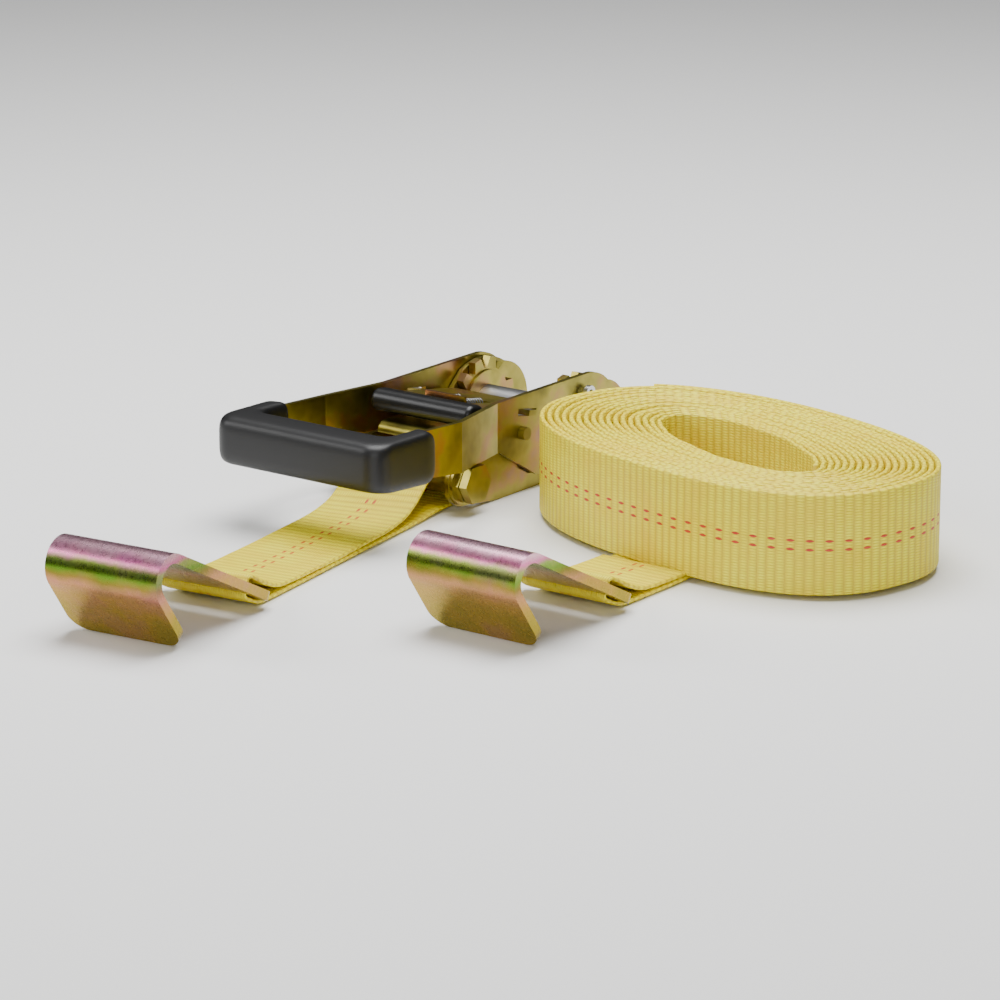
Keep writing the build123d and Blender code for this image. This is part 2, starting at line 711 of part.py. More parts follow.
hook_end_view = Plane(
    origin=(bar_world[0], bar_world[1], 0),
    x_dir=(strap_dir[0], strap_dir[1], 0),
    z_dir=(strap_dir[1], -strap_dir[0], 0),
)
hook_across = crosswise(SHORT_HOOK_YAW)
outline, hollow = hook_loop(BAR_MID + strap_len + join + 1)

with BuildPart() as short_strap:
    with BuildSketch(strap_view):
        with Locations((0, bolt_z)):
            Circle(loop_out)
        Polygon(
            (join - 1, FLOOR_GAP),
            drape_low,
            drape_end,
            touch(drape_end, (0, bolt_z), loop_out, -1),
            (0, bolt_z),
            touch(top_from, (0, bolt_z), loop_out, 1),
            top_from,
            (join - 1, LAYERS_TOP),
            align=None,
        )
        with Locations((0, bolt_z)):
            Circle(loop_in, mode=Mode.SUBTRACT)
        Polygon(
            slit_at,
            (drape_low[0] - 1.6, slit_at[1]),
            touch((drape_low[0] - 1.6, slit_at[1]), (0, bolt_z), loop_in, -1),
            (0, bolt_z),
            touch(slit_at, (0, bolt_z), loop_in, 1),
            align=None,
            mode=Mode.SUBTRACT,
        )
    extrude(amount=WEB_W / 2 / strap_dir[1], dir=(1, 0, 0), both=True)
    with BuildSketch(hook_end_view):
        Polygon(*[(s - BAR_MID, z) for s, z in outline], align=None)
        Polygon(*[(s - BAR_MID, z) for s, z in hollow], align=None, mode=Mode.SUBTRACT)
    extrude(
        amount=WEB_W / 2 / math.cos(math.radians(strap_yaw - SHORT_HOOK_YAW)),
        dir=(hook_across[0], hook_across[1], 0),
        both=True,
    )
save(short_strap.part, "short_strap")

# ---------------------------------------------------------------- long strap
lead_end = 175.0 - LONG_HOOK_AT[1]
outline, hollow = hook_loop(lead_end, single_from=118.0)
with BuildPart() as long_strap_lead:
    with BuildSketch(
        Plane(
            origin=(LONG_HOOK_AT[0] - WEB_W / 2, LONG_HOOK_AT[1], 0), x_dir=(0, 1, 0), z_dir=(1, 0, 0)
        )
    ):
        Polygon(*outline, align=None)
        Polygon(*hollow, align=None, mode=Mode.SUBTRACT)
    extrude(amount=WEB_W)
save(long_strap_lead.part, "long_strap_lead")


def superellipse(length, depth, power, count):
    """Points round a closed curve between an ellipse and a rectangle."""
    points = []
    for index in range(count):
        angle = 2 * math.pi * index / count
        wide = math.cos(angle)
        deep = math.sin(angle)
        points.append(
            (
                length / 2 * math.copysign(abs(wide) ** (2 / power), wide),
                depth / 2 * math.copysign(abs(deep) ** (2 / power), deep),
            )
        )
    return points


def lying(at, turn):
    """Plan view whose sketch X runs along the long way of the roll."""
    turned = math.radians(turn)
    return Plane(
        origin=(at[0], at[1], FLOOR_GAP + WEB_T + 0.1),
        x_dir=(math.cos(turned), math.sin(turned), 0),
        z_dir=(0, 0, 1),
    )


with BuildPart() as long_strap_roll:
    with BuildSketch(lying(ROLL_AT, ROLL_TURN)):
        with BuildLine():
            Spline(*superellipse(ROLL_LENGTH, ROLL_DEPTH, ROLL_POWER, 32), periodic=True)
        make_face()
    extrude(amount=WEB_W)
    with BuildSketch(lying(HOLE_AT, HOLE_TURN)):
        with BuildLine():
            Spline(*superellipse(HOLE_LENGTH, HOLE_DEPTH, 2.0, 24), periodic=True)
        make_face()
    extrude(amount=WEB_W, mode=Mode.SUBTRACT)
save(long_strap_roll.part, "long_strap_roll")
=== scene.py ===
"""Looks of a ratchet tie down: a lever ratchet on a short strap, and a long strap rolled up.

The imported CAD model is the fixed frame.  The steel pieces are the CAD's own meshes with a finish and
softened edges.  The soft and fine pieces are modelled here and stand for their CAD nodes: the two
straps, the rolled strap, the rubber grip and the coil springs.

Everything is in metres, +Z up, with the floor at Z = 0.
"""

from __future__ import annotations

import logging
import math
from dataclasses import dataclass, field
from enum import Enum
from functools import cache
from typing import Any, Sequence

import bpy  # noqa: E402
import numpy as np  # noqa: E402
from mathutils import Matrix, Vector  # noqa: E402

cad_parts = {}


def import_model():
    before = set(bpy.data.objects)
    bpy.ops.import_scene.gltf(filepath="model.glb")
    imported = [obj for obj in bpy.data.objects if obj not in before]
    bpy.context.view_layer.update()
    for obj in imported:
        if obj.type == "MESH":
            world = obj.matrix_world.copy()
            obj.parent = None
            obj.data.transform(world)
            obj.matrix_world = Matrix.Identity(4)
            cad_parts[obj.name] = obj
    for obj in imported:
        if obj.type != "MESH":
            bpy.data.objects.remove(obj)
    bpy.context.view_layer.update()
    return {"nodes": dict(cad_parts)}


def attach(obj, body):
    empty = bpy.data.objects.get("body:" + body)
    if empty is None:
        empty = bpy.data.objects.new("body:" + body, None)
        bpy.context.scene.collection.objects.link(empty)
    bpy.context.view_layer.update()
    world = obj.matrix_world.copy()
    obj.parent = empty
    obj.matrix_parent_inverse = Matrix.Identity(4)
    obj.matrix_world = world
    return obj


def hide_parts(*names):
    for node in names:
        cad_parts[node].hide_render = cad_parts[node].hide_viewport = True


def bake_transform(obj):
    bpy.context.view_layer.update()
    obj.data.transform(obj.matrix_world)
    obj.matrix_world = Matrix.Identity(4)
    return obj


LOG = logging.getLogger("tie_down")
MM = 0.001
Tree = bpy.types.NodeTree
Inputs = dict[str | int, Any]


# ---- finishes


def linear(colour: str) -> tuple[float, float, float, float]:
    """Turns an sRGB hex colour into linear light.

    Args:
        colour: "#rrggbb".

    Returns:
        Red, green, blue and an alpha of 1, as a shader socket wants them.
    """
    channels = [int(colour[index : index + 2], 16) / 255 for index in (1, 3, 5)]
    red, green, blue = (c / 12.92 if c <= 0.04045 else ((c + 0.055) / 1.055) ** 2.4 for c in channels)
    return red, green, blue, 1.0


def add(
    tree: Tree,
    kind: str,
    inputs: Inputs | None = None,
    stops: Sequence[tuple[float, str]] = (),
    **settings: Any,
) -> bpy.types.Node:
    """Adds one shader node.

    Args:
        tree: the node tree.
        kind: the node's type after "ShaderNode", such as "Math".
        inputs: a value or an output socket for each input, by name or number.
        stops: positions and sRGB colours of a colour ramp.
        settings: properties of the node.

    Returns:
        The node.
    """
    node = tree.nodes.new("ShaderNode" + kind)
    for key, value in settings.items():
        setattr(node, key, value)
    for key, value in (inputs or {}).items():
        if isinstance(value, bpy.types.NodeSocket):
            tree.links.new(value, node.inputs[key])
        else:
            node.inputs[key].default_value = value
    if stops:
        elements = node.color_ramp.elements
        elements.remove(elements[-1])
        elements[0].position = stops[0][0]
        elements[0].color = linear(stops[0][1])
        for position, colour in stops[1:]:
            elements.new(position).color = linear(colour)
    return node


@dataclass(frozen=True)
class Finish:
    """What every finish has.

    Attributes:
        name: the material's name.
        slot: another name for the material, or nothing for the studio; not used.
    """

    name: str
    slot: str

    def sockets(self, tree: Tree) -> Inputs:
        """Adds the nodes that the finish needs.

        Args:
            tree: the material's node tree.

        Returns:
            The principled shader's inputs.
        """
        raise NotImplementedError

    def material(self) -> bpy.types.Material:
        """Makes the material, with one principled shader."""
        material = bpy.data.materials.new(self.name)
        material.use_nodes = True
        tree = material.node_tree
        tree.nodes.clear()
        shader = add(tree, "BsdfPrincipled", self.sockets(tree))
        add(tree, "OutputMaterial", {"Surface": shader.outputs[0]})
        return material


@dataclass(frozen=True)
class ZincPlate(Finish):
    """Pressed steel plate, yellow zinc chromate.

    The film's thickness wanders over the sheet, and the eye sees gold and olive clouds with some
    pink and brown in them, and patches that are a little duller.

    Attributes:
        clouds: colour clouds per metre, each about 30 mm.
        stains: dull patches per metre, each about 11 mm.
        grain: rolling grain per metre, drawn at 0.4 mm, coarser than it is, so that it shows.
    """

    clouds: float = 34.0
    stains: float = 90.0
    grain: float = 2600.0

    def sockets(self, tree: Tree) -> Inputs:
        """Adds the clouds, stains and grain.

        Args:
            tree: the material's node tree.

        Returns:
            The principled shader's inputs.
        """
        place = add(tree, "TexCoord").outputs["Object"]
        clouds = add(
            tree, "TexNoise", {"Vector": place, "Scale": self.clouds, "Detail": 3.0, "Roughness": 0.55}
        )
        film = add(
            tree,
            "ValToRGB",
            {"Fac": clouds.outputs["Fac"]},
            stops=(
                (0.30, "#79682e"),
                (0.42, "#9a8a3c"),
                (0.52, "#b09e4c"),
                (0.60, "#b88c5c"),
                (0.70, "#ad7f7a"),
            ),
        )
        stain = add(
            tree, "TexNoise", {"Vector": place, "Scale": self.stains, "Detail": 4.0, "Roughness": 0.6}
        ).outputs["Fac"]
        share = add(tree, "Math", {0: stain, 1: 0.45}, operation="MULTIPLY")
        stained = add(
            tree,
            "Mix",
            {0: share.outputs[0], 6: film.outputs[0], 7: linear("#6a7c36")},
            data_type="RGBA",
        )
        dull = add(tree, "Math", {0: stain, 1: 0.14, 2: 0.25}, operation="MULTIPLY_ADD")
        grain = add(
            tree, "TexNoise", {"Vector": place, "Scale": self.grain, "Detail": 2.0, "Roughness": 0.5}
        )
        bump = add(
            tree, "Bump", {"Height": grain.outputs["Fac"], "Distance": 0.02 * MM, "Strength": 0.5}
        )
        return {
            "Base Color": stained.outputs[2],
            "Metallic": 1.0,
            "Roughness": dull.outputs[0],
            "Normal": bump.outputs[0],
        }


@dataclass(frozen=True)
class ZincHook(Finish):
    """The same plating on a flat hook, bent before it was plated.

    The film changes with height: gold on the lip, green below the bend, and pink along the crest,
    paling there to near white as a painted highlight.  Handling leaves fine scuffs.

    Attributes:
        top: height of the crest, in metres.
        wander: how far the bands stray, as a share of the height.
    """

    top: float = 48.2 * MM
    wander: float = 0.16

    def sockets(self, tree: Tree) -> Inputs:
        """Adds the bands, clouds and scuffs.

        Args:
            tree: the material's node tree.

        Returns:
            The principled shader's inputs.
        """
        place = add(tree, "TexCoord").outputs["Object"]
        height = add(tree, "SeparateXYZ", {"Vector": place}).outputs["Z"]
        stray = add(
            tree, "TexNoise", {"Vector": place, "Scale": 60.0, "Detail": 4.0, "Roughness": 0.5}
        )
        centred = add(tree, "Math", {0: stray.outputs["Fac"], 1: 0.5}, operation="SUBTRACT")
        shift = add(tree, "Math", {0: centred.outputs[0], 1: self.wander}, operation="MULTIPLY")
        share = add(tree, "Math", {0: height, 1: self.top}, operation="DIVIDE")
        level = add(tree, "Math", {0: share.outputs[0], 1: shift.outputs[0]}, operation="ADD")
        # the plating's colours by height; the last, near-white pink stop along the crest is a painted
        # highlight
        bands_and_painted_highlight = add(
            tree,
            "ValToRGB",
            {"Fac": level.outputs[0]},
            stops=(
                (0.05, "#a08a24"),
                (0.30, "#a68e2a"),
                (0.48, "#b88e40"),
                (0.60, "#bd8060"),
                (0.69, "#77682a"),
                (0.77, "#4f8c26"),
                (0.85, "#86a650"),
                (0.91, "#e270b6"),
                (0.98, "#f4bcdc"),
            ),
        )
        clouds = add(
            tree, "TexNoise", {"Vector": place, "Scale": 42.0, "Detail": 3.0, "Roughness": 0.5}
        )
        blotches = add(
            tree,
            "ValToRGB",
            {"Fac": clouds.outputs["Fac"]},
            stops=((0.40, "#8c8824"), (0.52, "#bc963e"), (0.62, "#c47e7c")),
        )
        colour = add(
            tree, "Mix", {0: 0.25, 6: bands_and_painted_highlight.outputs[0], 7: blotches.outputs[0]}, data_type="RGBA"
        )
        scuffs = add(
            tree, "TexNoise", {"Vector": place, "Scale": 420.0, "Detail": 5.0, "Roughness": 0.65}
        ).outputs["Fac"]
        dull = add(tree, "Math", {0: scuffs, 1: 0.16, 2: 0.20}, operation="MULTIPLY_ADD")
        bump = add(tree, "Bump", {"Height": scuffs, "Distance": 0.02 * MM, "Strength": 0.35})
        return {
            "Base Color": colour.outputs[2],
            "Metallic": 1.0,
            "Roughness": dull.outputs[0],
            "Normal": bump.outputs[0],
        }


@dataclass(frozen=True)
class TurnedSteel(Finish):
    """Turned steel of the mandrel and split pins: silver, with fine lathe lines round X.

    Attributes:
        lines: lathe lines per metre, about 0.2 mm apart.
    """

    lines: float = 5200.0

    def sockets(self, tree: Tree) -> Inputs:
        """Adds the lathe lines.

        Args:
            tree: the material's node tree.

        Returns:
            The principled shader's inputs.
        """
        place = add(tree, "TexCoord").outputs["Object"]
        along = add(tree, "SeparateXYZ", {"Vector": place}).outputs["X"]
        only_x = add(tree, "CombineXYZ", {"X": along}).outputs[0]
        lathe = add(
            tree, "TexNoise", {"Vector": only_x, "Scale": self.lines, "Detail": 2.0, "Roughness": 0.5}
        )
        bump = add(
            tree, "Bump", {"Height": lathe.outputs["Fac"], "Distance": 0.02 * MM, "Strength": 0.5}
        )
        return {
            "Base Color": linear("#cfcfd0"),
            "Metallic": 1.0,
            "Roughness": 0.28,
            "Normal": bump.outputs[0],
        }


@dataclass(frozen=True)
class SpringWire(Finish):
    """Drawn spring wire: dull grey, too thin for any pattern to show."""

    def sockets(self, tree: Tree) -> Inputs:
        """Needs no node of its own."""
        return {"Base Color": linear("#8d8d8c"), "Metallic": 1.0, "Roughness": 0.35}


@dataclass(frozen=True)
class Moulded(Finish):
    """A moulded part in one colour: the mould's fine texture breaks up its highlights.

    Attributes:
        colour: sRGB colour.
        roughness: satin for rubber, smoother for plastic.
        ior: of the rubber or plastic.
        grain: texture per metre, drawn at about half a millimetre so that it shows.
        detail: of the texture.
        depth: of the texture, in metres.
        strength: of the texture.
    """

    colour: str
    roughness: float
    ior: float
    grain: float
    detail: float
    depth: float
    strength: float

    def sockets(self, tree: Tree) -> Inputs:
        """Adds the mould's texture.

        Args:
            tree: the material's node tree.

        Returns:
            The principled shader's inputs.
        """
        place = add(tree, "TexCoord").outputs["Object"]
        grain = add(
            tree, "TexNoise", {"Vector": place, "Scale": self.grain, "Detail": self.detail, "Roughness": 0.5}
        )
        bump = add(
            tree,
            "Bump",
            {"Height": grain.outputs["Fac"], "Distance": self.depth, "Strength": self.strength},
        )
        return {
            "Base Color": linear(self.colour),
            "Roughness": self.roughness,
            "IOR": self.ior,
            "Normal": bump.outputs[0],
        }


@dataclass(frozen=True)
class Webbing(Finish):
    """Woven polyester webbing, with two red tracer threads.  Shade is painted into the gaps between its
    ribs: the yarn's colour darkens where the weave is low.

    The UV map is in metres: U along the strap and V across it, 0 at its middle.  The weave's height
    is sin(pi u)^0.8 x sin(pi v)^0.45, with u the place within a rib and v the place within a pick,
    and every second rib is moved by half a pick.  A tracer shows on every second rib, as a dash
    that is widest in its middle.

    Attributes:
        rib: width of a rib along the strap, in metres.
        pick: spacing of the yarn across the strap, in metres.
        tracer_at: distance of each tracer from the strap's middle, in metres.
        tracer_half: half of a dash's greatest width, in metres.
        fade: paler patches per metre, each about 18 mm.
    """

    rib: float = 4.7 * MM
    pick: float = 1.42 * MM
    tracer_at: float = 2.25 * MM
    tracer_half: float = 0.72 * MM
    fade: float = 55.0

    def weave(self, tree: Tree, along: Any, across: Any) -> bpy.types.NodeSocket:
        """Adds the ribs.

        Args:
            tree: the material's node tree.
            along: place along the strap.
            across: place across the strap.

        Returns:
            The weave's height, 0 to 1.
        """
        rib = add(tree, "Math", {0: along, 1: self.rib}, operation="DIVIDE").outputs[0]
        number = add(tree, "Math", {0: rib}, operation="FLOOR").outputs[0]
        odd = add(tree, "Math", {0: number, 1: 1.0}, operation="PINGPONG").outputs[0]
        pick = add(tree, "Math", {0: across, 1: self.pick}, operation="DIVIDE").outputs[0]
        moved = add(tree, "Math", {0: odd, 1: 0.5, 2: pick}, operation="MULTIPLY_ADD").outputs[0]
        swells = []
        for count, power in ((rib, 0.8), (moved, 0.45)):
            place = add(tree, "Math", {0: count}, operation="FRACT").outputs[0]
            turn = add(tree, "Math", {0: place, 1: math.pi}, operation="MULTIPLY").outputs[0]
            wave = add(tree, "Math", {0: turn}, operation="SINE").outputs[0]
            swells.append(add(tree, "Math", {0: wave, 1: power}, operation="POWER").outputs[0])
        return add(tree, "Math", {0: swells[0], 1: swells[1]}, operation="MULTIPLY").outputs[0]

    def tracers(self, tree: Tree, along: Any, across: Any) -> bpy.types.NodeSocket:
        """Adds the tracer threads.

        Args:
            tree: the material's node tree.
            along: place along the strap.
            across: place across the strap.

        Returns:
            1 on a dash and 0 elsewhere.
        """
        out = add(tree, "Math", {0: across}, operation="ABSOLUTE").outputs[0]
        gap = add(tree, "Math", {0: out, 1: self.tracer_at}, operation="SUBTRACT").outputs[0]
        off = add(tree, "Math", {0: gap}, operation="ABSOLUTE").outputs[0]
        beat = add(tree, "Math", {0: along, 1: 2 * self.rib}, operation="DIVIDE").outputs[0]
        place = add(tree, "Math", {0: beat}, operation="FRACT").outputs[0]
        turn = add(tree, "Math", {0: place, 1: 2 * math.pi}, operation="MULTIPLY").outputs[0]
        lens = add(tree, "Math", {0: turn}, operation="SINE").outputs[0]
        half = add(tree, "Math", {0: lens, 1: self.tracer_half}, operation="MULTIPLY").outputs[0]
        return add(tree, "Math", {0: off, 1: half}, operation="LESS_THAN").outputs[0]

    def sockets(self, tree: Tree) -> Inputs:
        """Adds the weave, the dye and the tracers.

        Args:
            tree: the material's node tree.

        Returns:
            The principled shader's inputs.
        """
        uv = add(tree, "UVMap", uv_map="web").outputs[0]
        parts = add(tree, "SeparateXYZ", {"Vector": uv})
        along, across = parts.outputs["X"], parts.outputs["Y"]
        weave = self.weave(tree, along, across)
        place = add(tree, "TexCoord").outputs["Object"]
        fade = add(
            tree, "TexNoise", {"Vector": place, "Scale": self.fade, "Detail": 3.0, "Roughness": 0.5}
        )
        dye = add(
            tree,
            "ValToRGB",
            {"Fac": fade.outputs["Fac"]},
            stops=((0.35, "#fbe400"), (0.55, "#fff300"), (0.70, "#fff72a")),
        )
        # painted shade: the yarn goes from the dye to a darker yellow (#d8bc00) where the weave is low, in
        # the gaps between ribs and picks
        cloth_with_painted_shade = add(
            tree, "Mix", {0: weave, 6: linear("#d8bc00"), 7: dye.outputs[0]}, data_type="RGBA"
        )
        tracer = self.tracers(tree, along, across)
        colour = add(
            tree, "Mix", {0: tracer, 6: cloth_with_painted_shade.outputs[2], 7: linear("#cf3a12")}, data_type="RGBA"
        )
        bump = add(tree, "Bump", {"Height": weave, "Distance": 0.5 * MM, "Strength": 0.9})
        return {
            "Base Color": colour.outputs[2],
            "Roughness": 0.55,
            "IOR": 1.54,
            "Normal": bump.outputs[0],
        }


@dataclass(frozen=True)
class Paper(Finish):
    """Matt white paper of the studio floor."""

    def sockets(self, tree: Tree) -> Inputs:
        """Needs no node of its own."""
        return {"Base Color": linear("#f6f6f5"), "Roughness": 0.9, "IOR": 1.3}


class Coat(Enum):
    """Every finish on the object and in the studio."""

    PLATE = ZincPlate("yellow_zinc_plate", "yellow_zinc_steel")
    HOOK = ZincHook("yellow_zinc_hook", "yellow_zinc_steel")
    TURNED = TurnedSteel("bright_machined_steel", "bright_steel")
    WIRE = SpringWire("spring_wire", "spring_steel")
    RUBBER = Moulded("black_rubber", "grip_rubber", "#08080a", 0.46, 1.52, 1500.0, 3.0, 0.03 * MM, 0.4)
    PLASTIC = Moulded("black_plastic", "black_plastic", "#070708", 0.36, 1.5, 1900.0, 2.0, 0.02 * MM, 0.3)
    WEBBING = Webbing("yellow_webbing", "webbing")
    PAPER = Paper("studio_paper", "")


@cache
def material_of(coat: Coat) -> bpy.types.Material:
    """Makes a finish's material once."""
    return coat.value.material()


def dress(piece: bpy.types.Object, coat: Coat) -> None:
    """Gives the whole piece one finish.

    Args:
        piece: the piece.
        coat: its finish.
    """
    piece.data.materials.clear()
    piece.data.materials.append(material_of(coat))


# ---- geometry


def unit_rows(rows: np.ndarray) -> np.ndarray:
    """Scales each row to length 1."""
    return rows / np.maximum(np.linalg.norm(rows, axis=1, keepdims=True), 1e-12)


def reach_of(line: np.ndarray) -> np.ndarray:
    """Distance along a line to each of its points: the running sum of its steps' lengths."""
    return np.concatenate([[0.0], np.cumsum(np.linalg.norm(np.diff(line, axis=0), axis=1))])


def evenly(line: np.ndarray, step: float) -> np.ndarray:
    """Measures a line out at equal steps.

    Args:
        line: its points.
        step: wanted spacing, in the points' unit.

    Returns:
        The evenly spaced points, ends kept.
    """
    reach = reach_of(line)
    count = max(2, int(round(reach[-1] / step)) + 1)
    wanted = np.linspace(0.0, reach[-1], count)
    return np.stack([np.interp(wanted, reach, line[:, axis]) for axis in range(line.shape[1])], axis=1)


def smooth_line(points: Sequence[Sequence[float]], step: float, rounds: int = 3) -> np.ndarray:
    """Rounds a polyline's corners and spaces it evenly.

    Each round cuts every corner at a quarter and three quarters of its sides (Chaikin's rule),
    and the result is then measured out at equal steps.

    Args:
        points: the corners, in any number of dimensions.
        step: wanted spacing, in the points' unit.
        rounds: how often the corners are cut.

    Returns:
        The evenly spaced points, ends kept.
    """
    line = np.asarray(points, dtype=float)
    for _ in range(rounds):
        cuts = np.empty((2 * len(line) - 2, line.shape[1]))
        cuts[0::2] = line[:-1] * 0.75 + line[1:] * 0.25
        cuts[1::2] = line[:-1] * 0.25 + line[1:] * 0.75
        line = np.vstack([line[:1], cuts, line[-1:]])
    return evenly(line, step)


def swept_volume(verts: np.ndarray, quads: np.ndarray) -> float:
    """Signed volume under a mesh's quads: the sum over their triangles of a . (b x c) / 6."""
    total = 0.0
    for corners in ((0, 1, 2), (0, 2, 3)):
        a, b, c = (verts[quads[:, corner]] for corner in corners)
        total += float(np.einsum("ij,ij->i", a, np.cross(b, c)).sum()) / 6
    return total


def tube_mesh(name: str, rings: np.ndarray, uv: np.ndarray | None = None) -> bpy.types.Object:
    """Skins a row of rings and closes its two ends.

    Args:
        name: the object's name.
        rings: count x sides x 3 points; each ring goes once round the piece.
        uv: count x sides x 2 texture coordinates, in metres, or None.

    Returns:
        The object, smooth shaded, with its faces outward.
    """
    count, sides, _ = rings.shape
    verts = rings.reshape(-1, 3)
    ring = np.arange(count - 1)[:, None] * sides
    here = np.arange(sides)[None, :]
    after = (here + 1) % sides
    quads = np.stack([ring + here, ring + after, ring + sides + after, ring + sides + here], axis=-1)
    quads = quads.reshape(-1, 4)
    # each cap runs against the walls' direction, on whichever side is out
    first, last = list(range(sides))[::-1], list(range((count - 1) * sides, count * sides))
    if swept_volume(verts, quads) < 0:
        quads, first, last = quads[:, ::-1], first[::-1], last[::-1]
    faces = quads.tolist() + [first, last]
    mesh = bpy.data.meshes.new(name)
    mesh.from_pydata(verts.tolist(), [], faces)
    mesh.polygons.foreach_set("use_smooth", [True] * len(faces))
    if uv is not None:
        layer = mesh.uv_layers.new(name="web")
        corner_vertex = np.zeros(len(mesh.loops), dtype=np.int32)
        mesh.loops.foreach_get("vertex_index", corner_vertex)
        layer.data.foreach_set("uv", uv.reshape(-1, 2)[corner_vertex].astype(np.float32).ravel())
    mesh.update()
    piece = bpy.data.objects.new(name, mesh)
    bpy.context.scene.collection.objects.link(piece)
    return piece


# ---- places from the CAD


@dataclass(frozen=True)
class HookPlace:
    """Where a flat hook lies.

    Attributes:
        tip: middle of its lip's tip, in plan.
        yaw: its turn from +Y, in degrees.
    """

    tip: tuple[float, float]
    yaw: float

    def heading(self) -> np.ndarray:
        """Direction in plan from the lip to the strap."""
        return np.array([-math.sin(math.radians(self.yaw)), math.cos(math.radians(self.yaw))])


@dataclass(frozen=True)
class Layout:
    """Sizes and places shared with the CAD, in metres.

    Attributes:
        mandrel: middle of the mandrel.
        bolt: Y and Z of the anchor bolt's axis.
        sleeve: radius of the sleeve on the bolt.
        floor_gap: from the floor to the straps.
        short_hook: place of the short strap's hook.
        long_hook: place of the long strap's hook.
        bend_at: centre of a hook's bend, along the hook from its lip and up.
        bend: outer radius of the bend.
        drop: how far the shank slopes.
        shank: length of the shank.
        hook_t: thickness of a hook's plate.
        slot_end: end of the strap's slot, along the shank.
    """

    mandrel: tuple[float, float, float] = (-120 * MM, 173.5 * MM, 27 * MM)
    bolt: tuple[float, float] = (72 * MM, 16.5 * MM)
    sleeve: float = 8 * MM
    floor_gap: float = 0.2 * MM
    short_hook: HookPlace = HookPlace((-81.3 * MM, -193.3 * MM), 6.0)
    long_hook: HookPlace = HookPlace((52.5 * MM, -88.5 * MM), 0.0)
    bend_at: tuple[float, float] = (-8 * MM, 34.7 * MM)
    bend: float = 13.5 * MM
    drop: float = math.radians(27)
    shank: float = 86.9 * MM
    hook_t: float = 4.8 * MM
    slot_end: float = 74 * MM

    def on_shank(self, along: float, up: float) -> np.ndarray:
        """Finds a point in a hook's side view.

        Args:
            along: distance down the shank from the bend.
            up: distance out of the shank's upper face.

        Returns:
            The distance along the hook from its lip, and the height.
        """
        out = np.array([math.sin(self.drop), math.cos(self.drop)])
        down = np.array([math.cos(self.drop), -math.sin(self.drop)])
        return np.array(self.bend_at) + self.bend * out + along * down + up * out


LAY = Layout()


# ---- straps


@dataclass(frozen=True)
class Ripple:
    """Slow waves in a strap that isn't pulled tight.

    Attributes:
        height: of the waves, in metres.
        seed: picks the waves.
    """

    height: float
    seed: int

    def at(self, reach: np.ndarray, across: np.ndarray) -> np.ndarray:
        """Adds three sine waves, the longer ones higher, slanted at random.

        Args:
            reach: distance along the strap to each station.
            across: place across the strap of each section point.

        Returns:
            How far each point of each station is lifted.
        """
        rng = np.random.default_rng(self.seed)
        pitches = (90 * MM, 47 * MM, 21 * MM)
        lift = np.zeros((len(reach), len(across)))
        for pitch in pitches:
            phase = rng.uniform(0, 2 * math.pi)
            slant = rng.uniform(-25, 25)
            turn = 2 * math.pi * reach[:, None] / pitch + phase + slant * across[None, :]
            lift += np.sin(turn) * pitch / sum(pitches)
        return lift * self.height


@dataclass(frozen=True)
class Strap:
    """A length of webbing that follows a line.

    Attributes:
        width: across the strap, in metres.
        thickness: of one layer, in metres.
        steps: points across each face.
    """

    width: float = 51 * MM
    thickness: float = 2.2 * MM
    steps: int = 14

    def section(self) -> np.ndarray:
        """Outline of the strap's cut end: two flat faces joined by round selvedges.

        Returns:
            Points as (across, up), once round.
        """
        half, up = self.width / 2, self.thickness / 2
        flat = np.linspace(-half + up, half - up, self.steps)
        turn = np.linspace(-math.pi / 2, math.pi / 2, 7)[1:-1]
        right = np.stack([half - up + up * np.cos(turn), up * np.sin(turn)], axis=1)
        lower = np.stack([flat, np.full_like(flat, -up)], axis=1)
        upper = np.stack([flat[::-1], np.full_like(flat, up)], axis=1)
        return np.vstack([lower, right, upper, -right])

    def build(
        self, name: str, line: np.ndarray, side: np.ndarray, ripple: Ripple | None = None
    ) -> tuple[bpy.types.Object, float]:
        """Sweeps the section along a line.

        At each point T is the line's direction, S the side and N = T x S, and a section point
        (a, b) lands at P + a S + (b + w) N, where w is the ripple.

        Args:
            name: the object's name.
            line: points of the strap's middle.
            side: the direction across the strap, one or one for each point.
            ripple: the strap's waves.

        Returns:
            The object and the length of its line.
        """
        sides = unit_rows(np.broadcast_to(np.asarray(side, dtype=float), line.shape))
        along = unit_rows(np.gradient(line, axis=0))
        normal = unit_rows(np.cross(along, sides))
        sides = unit_rows(np.cross(normal, along))
        reach = reach_of(line)
        across, up = self.section().T
        lift = up[None, :] + (ripple.at(reach, across) if ripple else np.zeros((len(line), 1)))
        rings = (
            line[:, None, :]
            + across[None, :, None] * sides[:, None, :]
            + lift[:, :, None] * normal[:, None, :]
        )
        uv = np.empty(rings.shape[:2] + (2,))
        uv[..., 0] = reach[:, None]
        uv[..., 1] = across[None, :]
        piece = tube_mesh(name, rings, uv)
        dress(piece, Coat.WEBBING)
        LOG.info("%s is %.0f mm long", name, reach[-1] / MM)
        return piece, float(reach[-1])


